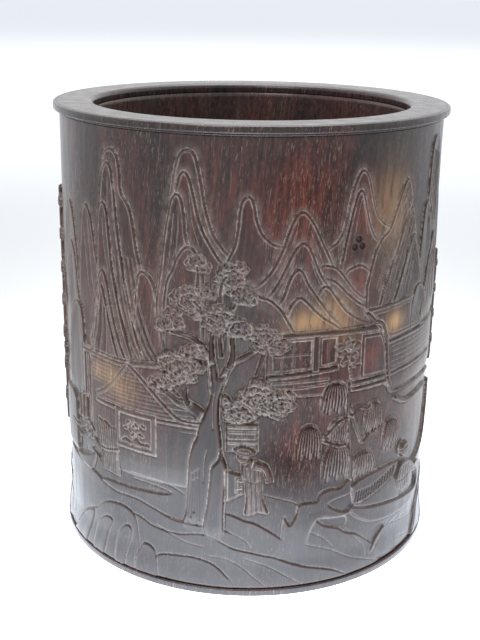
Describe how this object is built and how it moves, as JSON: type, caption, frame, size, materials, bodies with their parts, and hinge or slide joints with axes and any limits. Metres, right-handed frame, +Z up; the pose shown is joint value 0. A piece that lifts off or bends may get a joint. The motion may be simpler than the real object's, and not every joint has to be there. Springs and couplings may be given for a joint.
{
  "type": "brush pot",
  "caption": "Cylindrical hardwood brush pot with a landscape carved in low relief, a turned lip, a turned foot and a closed floor.",
  "frame": {"origin": "centre of the underside of the foot ring", "axes": "+Z up along the pot's axis, -Y towards the side with the two-trunked pine"},
  "size_m": [0.16, 0.16, 0.182],
  "materials": {
    "carved_wood": "waxed dark hardwood, carved",
    "turned_wood": "waxed dark hardwood, turned and polished",
    "floor_wood": "plain dark hardwood board, lightly waxed",
    "plug_wood": "plain dark hardwood, end grain",
    "bamboo": "plain split bamboo"
  },
  "bodies": {
    "root": {"pot_wall": "carved_wood", "rim_ring": "turned_wood", "foot_ring": "turned_wood", "base_board": "floor_wood", "base_plug": "plug_wood", "rim_dowels": "bamboo", "foot_pegs": "bamboo"}
  },
  "joints": []
}
